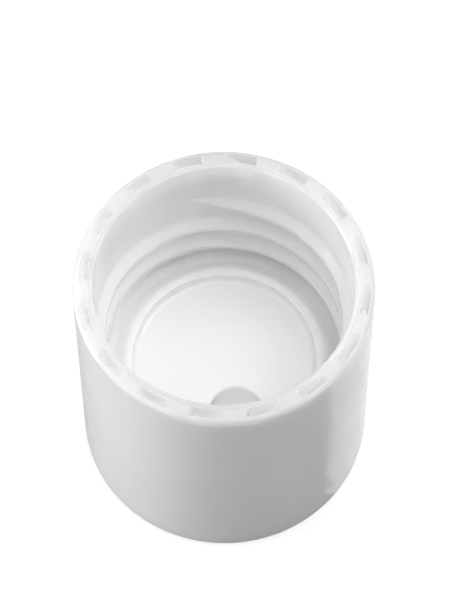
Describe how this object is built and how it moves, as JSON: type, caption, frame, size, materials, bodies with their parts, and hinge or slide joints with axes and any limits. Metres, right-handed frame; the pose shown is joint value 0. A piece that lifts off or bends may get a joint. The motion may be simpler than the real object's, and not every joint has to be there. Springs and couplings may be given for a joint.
{
  "type": "disc top cap",
  "caption": "White screw cap, mouth up: threaded socket, notched rim, sealing ring and orifice, with a round disc under it that tips up to pour.",
  "frame": {"origin": "on the cap's axis, at the face of the ring round the disc, which the cap rests on", "axes": "+Z runs along the cap's axis towards the threaded mouth, and -Y is the side that the spout and orifice are on"},
  "size_m": [0.0232, 0.0232, 0.0246],
  "materials": {
    "body_plastic": "smooth white moulded polypropylene with a light gloss",
    "disc_plastic": "smooth white moulded polypropylene with a light gloss"
  },
  "bodies": {
    "cap": {"cap_body": "body_plastic"},
    "disc": {"disc": "disc_plastic"}
  },
  "joints": [
    {"name": "disc_tilt", "type": "hinge", "parent": "cap", "child": "disc", "pos_m": [0, 0, 0.002], "axis": [1, 0, 0], "range_deg": [0, 20]}
  ]
}
